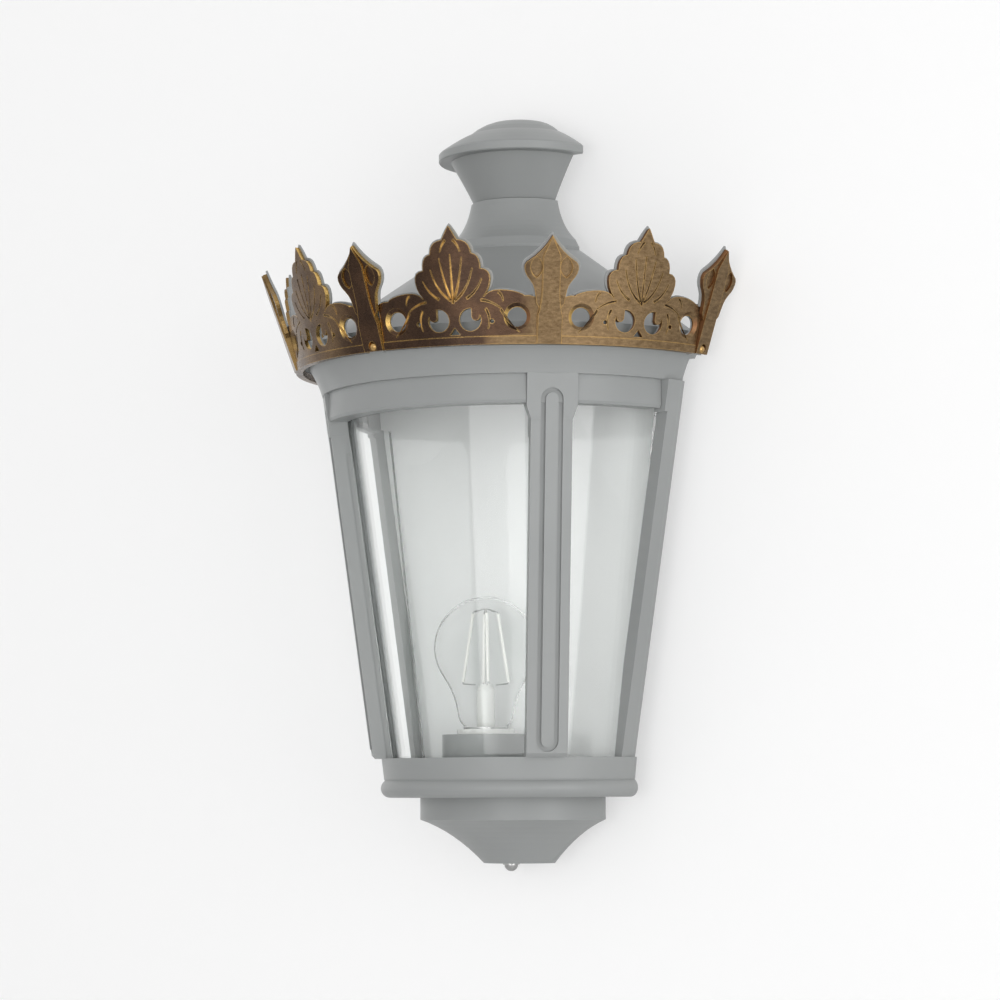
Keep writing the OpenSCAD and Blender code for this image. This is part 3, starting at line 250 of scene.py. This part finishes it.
def clear(name, tint, ior=1.45):
    """Clear glass that lets the lamps' light through without a shadow."""
    m = Nodes(name)
    shader = m.shader(Roughness=0.0, IOR=ior, Transmission_Weight=1.0, Base_Color=(*tint, 1))
    m.join(m.bump(m.noise(22.0, 1.0), 0.02, 0.001), shader.inputs["Normal"])
    path = m.add("ShaderNodeLightPath")
    through = m.add("ShaderNodeBsdfTransparent", {"Color": (0.95, 0.97, 0.96, 1)})
    blend = m.add("ShaderNodeMixShader")
    m.join(path.outputs["Is Shadow Ray"], blend.inputs[0])
    m.join(shader.outputs[0], blend.inputs[1])
    m.join(through.outputs[0], blend.inputs[2])
    m.join(blend.outputs[0], m.output.inputs["Surface"])
    return m.material


def metal(name, low, high):
    """Plain metal with fine mottling between two colours."""
    m = Nodes(name)
    shader = m.shader(Metallic=1.0)
    m.join(m.mix(m.noise(60.0, 4.0), low, high), shader.inputs["Base Color"])
    m.join(m.ramp(m.noise(360.0), 0.3, 0.7, 0.24, 0.38), shader.inputs["Roughness"])
    m.join(m.bump(m.noise(1200.0), 0.1, 0.0001), shader.inputs["Normal"])
    return m.material


def moulded(name, low, high, roughness=0.5):
    """Plastic, rubber or glaze: two close colours, a fine grain and a varied gloss."""
    m = Nodes(name)
    shader = m.shader()
    m.join(m.mix(m.noise(30.0), low, high), shader.inputs["Base Color"])
    m.join(m.ramp(m.noise(80.0), 0.2, 0.8, roughness - 0.05, roughness + 0.08), shader.inputs["Roughness"])
    m.join(m.bump(m.noise(900.0), 0.08, 0.0001), shader.inputs["Normal"])
    return m.material


FINISHES = {
    "grey_paint": grey_paint(),
    "white_enamel": white_enamel(),
    "aged_brass": aged_brass(),
    "clear_glass": clear("clear glass", (0.985, 0.995, 0.99)),
    "bulb_glass": clear("bulb glass", (1.0, 1.0, 1.0), 1.08),
    "plated_steel": metal("plated steel", (0.36, 0.36, 0.36), (0.50, 0.50, 0.49)),
    "screw_brass": metal("screw brass", (0.38, 0.23, 0.09), (0.55, 0.36, 0.14)),
    "black_rubber": moulded("black rubber", (0.015, 0.015, 0.015), (0.03, 0.03, 0.03), 0.7),
    "porcelain": moulded("porcelain", (0.80, 0.80, 0.77), (0.86, 0.86, 0.84), 0.2),
    "white_plastic": moulded("white plastic", (0.74, 0.74, 0.71), (0.80, 0.80, 0.77)),
    "brown_lead": moulded("brown lead", (0.10, 0.045, 0.02), (0.14, 0.06, 0.03)),
    "green_lead": moulded("green lead", (0.15, 0.38, 0.06), (0.24, 0.45, 0.09)),
    "filament": moulded("filament", (0.90, 0.89, 0.85), (0.95, 0.94, 0.91), 0.6),
    "black_insulator": moulded("black insulator", (0.015, 0.015, 0.02), (0.03, 0.03, 0.035), 0.2),
}


def dress_frame():
    """Gives each CAD node the finish of its material slot."""
    slots = {part["node"]: part["material_slot"] for part in frame["record"]["subparts"]}
    for name, node in frame["nodes"].items():
        node.data.materials.clear()
        node.data.materials.append(FINISHES[slots[name]])


# Gold lines of the crown, whose gold is a painted highlight

# Curves in mm across a bay and up from the crown's lower edge: start, bend, end
MIDDLE_VEIN = ((0.0, 23.0), (0.0, 36.0), (0.0, 50.0))
RIGHT_VEINS = (
    ((0.4, 25.0), (4.0, 31.0), (6.6, 48.0)),
    ((1.2, 24.5), (9.5, 30.0), (12.2, 42.0)),
    ((8.0, 25.5), (14.0, 28.5), (17.2, 36.0)),
    ((2.3, 57.6), (4.9, 55.0), (5.8, 51.2)),
    ((16.0, 24.5), (22.5, 23.5), (27.0, 19.5)),
    ((26.8, 19.0), (29.0, 14.0), (36.0, 6.5)),
    ((26.0, 28.6), (28.4, 26.8), (28.2, 23.4)),
    ((18.4, 19.6), (21.4, 15.0), (19.0, 8.6)),
)
VEIN_W = 1.35 * MM
VEIN_RISE = 0.25 * MM
# Across a vein: share of its half width, and height as a share of its rise
VEIN_SECTION = ((-1.0, -1.6), (-0.5, 0.55), (0.0, 1.0), (0.5, 0.55), (1.0, -1.6))


def bend(a, b, c, t):
    """Point at t on the curve from a to c that bends towards b."""
    return tuple(p * (1 - t) ** 2 + q * 2 * t * (1 - t) + r * t * t for p, q, r in zip(a, b, c))


def on_crown(across, up, lift, angle):
    """Point over the crown's face, from mm across and up in the bay at that angle."""
    radius = CROWN_R + CROWN_LEAN * up * MM + lift
    across *= MM
    spot = Vector((across, -math.sqrt(radius * radius - across * across), CROWN_LOW + up * MM))
    turned = Matrix.Rotation(math.radians(angle), 3, "Z") @ spot
    return turned + Vector((0.0, AXIS_Y, 0.0))


def add_vein(mesh, curve, angle, side, steps=10):
    """Low ridge along one vein, widest at a third and pointed at both ends."""
    rows = []
    for i in range(steps + 1):
        t = i / steps
        here = bend(*curve, t)
        ahead = bend(*curve, min(t + 0.02, 1.0))
        behind = bend(*curve, max(t - 0.02, 0.0))
        run = (ahead[0] - behind[0], ahead[1] - behind[1])
        length = math.hypot(*run)
        across = (-run[1] / length, run[0] / length)
        half = VEIN_W / MM / 2 * max(0.08, math.sin(math.pi * t ** 0.62))
        row = []
        for share, rise in VEIN_SECTION:
            spot = (here[0] + across[0] * half * share, here[1] + across[1] * half * share)
            row.append(mesh.verts.new(on_crown(side * spot[0], spot[1], rise * VEIN_RISE, angle)))
        rows.append(row)
    for low, high in zip(rows, rows[1:]):
        for k in range(len(VEIN_SECTION) - 1):
            corners = (low[k], low[k + 1], high[k + 1], high[k])
            mesh.faces.new(corners if side > 0 else corners[::-1])


def build_veins():
    """Builds the veins of all four bays as one piece."""
    mesh = bmesh.new()
    for angle in BAYS:
        add_vein(mesh, MIDDLE_VEIN, angle, 1)
        for curve in RIGHT_VEINS:
            for side in (-1, 1):
                add_vein(mesh, curve, angle, side)
    for face in mesh.faces:
        face.smooth = True
    data = bpy.data.meshes.new("crown_gold_lines")
    mesh.to_mesh(data)
    mesh.free()
    data.materials.append(gold_line())
    lines = bpy.data.objects.new("crown_gold_lines", data)
    bpy.context.scene.collection.objects.link(lines)
    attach(lines, "lantern")


# Stage, light and camera

STAGE_SIDE = 6.0
FLOOR_Z = -0.62
WALL_GAP = 0.6 * MM
# Share of the wall's brightness that it gives off by itself, towards the camera alone
WALL_GLOW = 0.4
# The dome's strength straight down and straight up
DOME_DOWN = 1.4
DOME_UP = 0.5
LIGHT_TARGET = (0.0, -0.06, 0.13)
LIGHT_SIZE = 1.6


def plane(name, corners, material):
    """One flat face that belongs to the stage."""
    mesh = bpy.data.meshes.new(name)
    mesh.from_pydata(corners, [], [tuple(range(len(corners)))])
    mesh.materials.append(material)
    obj = bpy.data.objects.new(name, mesh)
    bpy.context.scene.collection.objects.link(obj)
    return obj


def floor_material():
    m = Nodes("pale floor")
    shader = m.shader(Roughness=0.8)
    m.join(m.mix(m.noise(3.0), (0.93, 0.93, 0.93), (0.95, 0.95, 0.95)), shader.inputs["Base Color"])
    return m.material


def wall_material():
    """Pale wall that the camera sees from the front, and that no other ray meets."""
    m = Nodes("pale wall")
    shader = m.shader(Roughness=0.9)
    m.join(m.mix(m.noise(2.0), (0.95, 0.95, 0.95), (0.965, 0.965, 0.965)), shader.inputs["Base Color"])
    path = m.add("ShaderNodeLightPath")
    geometry = m.add("ShaderNodeNewGeometry")
    front = m.math("SUBTRACT", 1.0, geometry.outputs["Backfacing"])
    seen = m.math("MULTIPLY", path.outputs["Is Camera Ray"], front)
    glow = m.add("ShaderNodeEmission", {"Color": (1, 1, 1, 1), "Strength": 1.0})
    face = m.add("ShaderNodeMixShader", {0: WALL_GLOW})
    m.join(shader.outputs[0], face.inputs[1])
    m.join(glow.outputs[0], face.inputs[2])
    blend = m.add("ShaderNodeMixShader")
    m.join(seen, blend.inputs[0])
    m.join(m.add("ShaderNodeBsdfTransparent").outputs[0], blend.inputs[1])
    m.join(face.outputs[0], blend.inputs[2])
    m.join(blend.outputs[0], m.output.inputs["Surface"])
    return m.material


def build_stage():
    side = STAGE_SIDE
    plane("floor", [(-side, -side, FLOOR_Z), (side, -side, FLOOR_Z), (side, side, FLOOR_Z),
        (-side, side, FLOOR_Z)], floor_material())
    plane("wall", [(-side, WALL_GAP, FLOOR_Z), (side, WALL_GAP, FLOOR_Z), (side, WALL_GAP, side),
        (-side, WALL_GAP, side)], wall_material())


def build_world():
    """A white room that the camera, metal and glass see, and a dome that lights the object."""
    world = bpy.data.worlds.new("studio")
    bpy.context.scene.world = world
    world.use_nodes = True
    tree = world.node_tree
    tree.nodes.clear()
    path = tree.nodes.new("ShaderNodeLightPath")
    seen = tree.nodes.new("ShaderNodeBackground")
    seen.inputs["Color"].default_value = (1, 1, 1, 1)
    seen.inputs["Strength"].default_value = 1.0
    fill = tree.nodes.new("ShaderNodeBackground")
    fill.inputs["Color"].default_value = (1, 1, 1, 1)
    coordinates = tree.nodes.new("ShaderNodeTexCoord")
    split = tree.nodes.new("ShaderNodeSeparateXYZ")
    tree.links.new(coordinates.outputs["Generated"], split.inputs[0])
    height = tree.nodes.new("ShaderNodeMapRange")
    for socket, value in (("From Min", -1.0), ("From Max", 1.0), ("To Min", DOME_DOWN), ("To Max", DOME_UP)):
        height.inputs[socket].default_value = value
    tree.links.new(split.outputs[2], height.inputs["Value"])
    tree.links.new(height.outputs[0], fill.inputs["Strength"])
    clear_view = path.outputs["Is Camera Ray"]
    for kind in ("Is Transmission Ray", "Is Glossy Ray"):
        add = tree.nodes.new("ShaderNodeMath")
        add.operation = "ADD"
        add.use_clamp = True
        tree.links.new(clear_view, add.inputs[0])
        tree.links.new(path.outputs[kind], add.inputs[1])
        clear_view = add.outputs[0]
    blend = tree.nodes.new("ShaderNodeMixShader")
    tree.links.new(clear_view, blend.inputs[0])
    tree.links.new(fill.outputs[0], blend.inputs[1])
    tree.links.new(seen.outputs[0], blend.inputs[2])
    output = tree.nodes.new("ShaderNodeOutputWorld")
    tree.links.new(blend.outputs[0], output.inputs[0])


def area_light(name, place, power):
    """Soft round light that points at the lantern's middle."""
    light = bpy.data.lights.new(name, "AREA")
    light.shape = "DISK"
    light.size = LIGHT_SIZE
    light.energy = power
    obj = bpy.data.objects.new(name, light)
    obj.location = place
    obj.rotation_euler = (Vector(LIGHT_TARGET) - Vector(place)).to_track_quat("-Z", "Y").to_euler()
    bpy.context.scene.collection.objects.link(obj)


def build_lights():
    area_light("right", (2.3, -0.9, 0.1), 15.0)
    area_light("front", (0.9, -2.2, -0.3), 12.0)


def build_camera():
    """Camera fitted to the photograph by the lantern's ring, ribs, base and crown.

    Its azimuth and distance are taken from the lantern's axis. The other angles turn it from there.
    """
    azimuth = math.radians(38.1085)
    distance = 1.946813
    turn = math.radians(0.3738)
    pitch = math.radians(4.9951)
    roll = math.radians(-0.3301)
    focal_pixels = 3269.778
    photo_pixels = 1000.0
    place = Vector((distance * math.sin(azimuth), AXIS_Y - distance * math.cos(azimuth), -0.016296))
    yaw = azimuth + turn
    ahead = Vector((-math.sin(yaw) * math.cos(pitch), math.cos(yaw) * math.cos(pitch), math.sin(pitch)))
    right = Vector((math.cos(yaw), math.sin(yaw), 0.0))
    up = right.cross(ahead)
    rolled_right = right * math.cos(roll) + up * math.sin(roll)
    rolled_up = up * math.cos(roll) - right * math.sin(roll)
    turned = Matrix((rolled_right, rolled_up, -ahead)).transposed()
    data = bpy.data.cameras.new("camera")
    data.sensor_width = 36.0
    data.lens = focal_pixels / photo_pixels * data.sensor_width
    data.clip_start = 0.01
    camera = bpy.data.objects.new("camera", data)
    camera.matrix_world = Matrix.Translation(place) @ turned.to_4x4()
    bpy.context.scene.collection.objects.link(camera)
    bpy.context.scene.camera = camera


dress_frame()
build_veins()
build_stage()
build_world()
build_lights()
build_camera()
bpy.context.scene.view_settings.view_transform = "Standard"
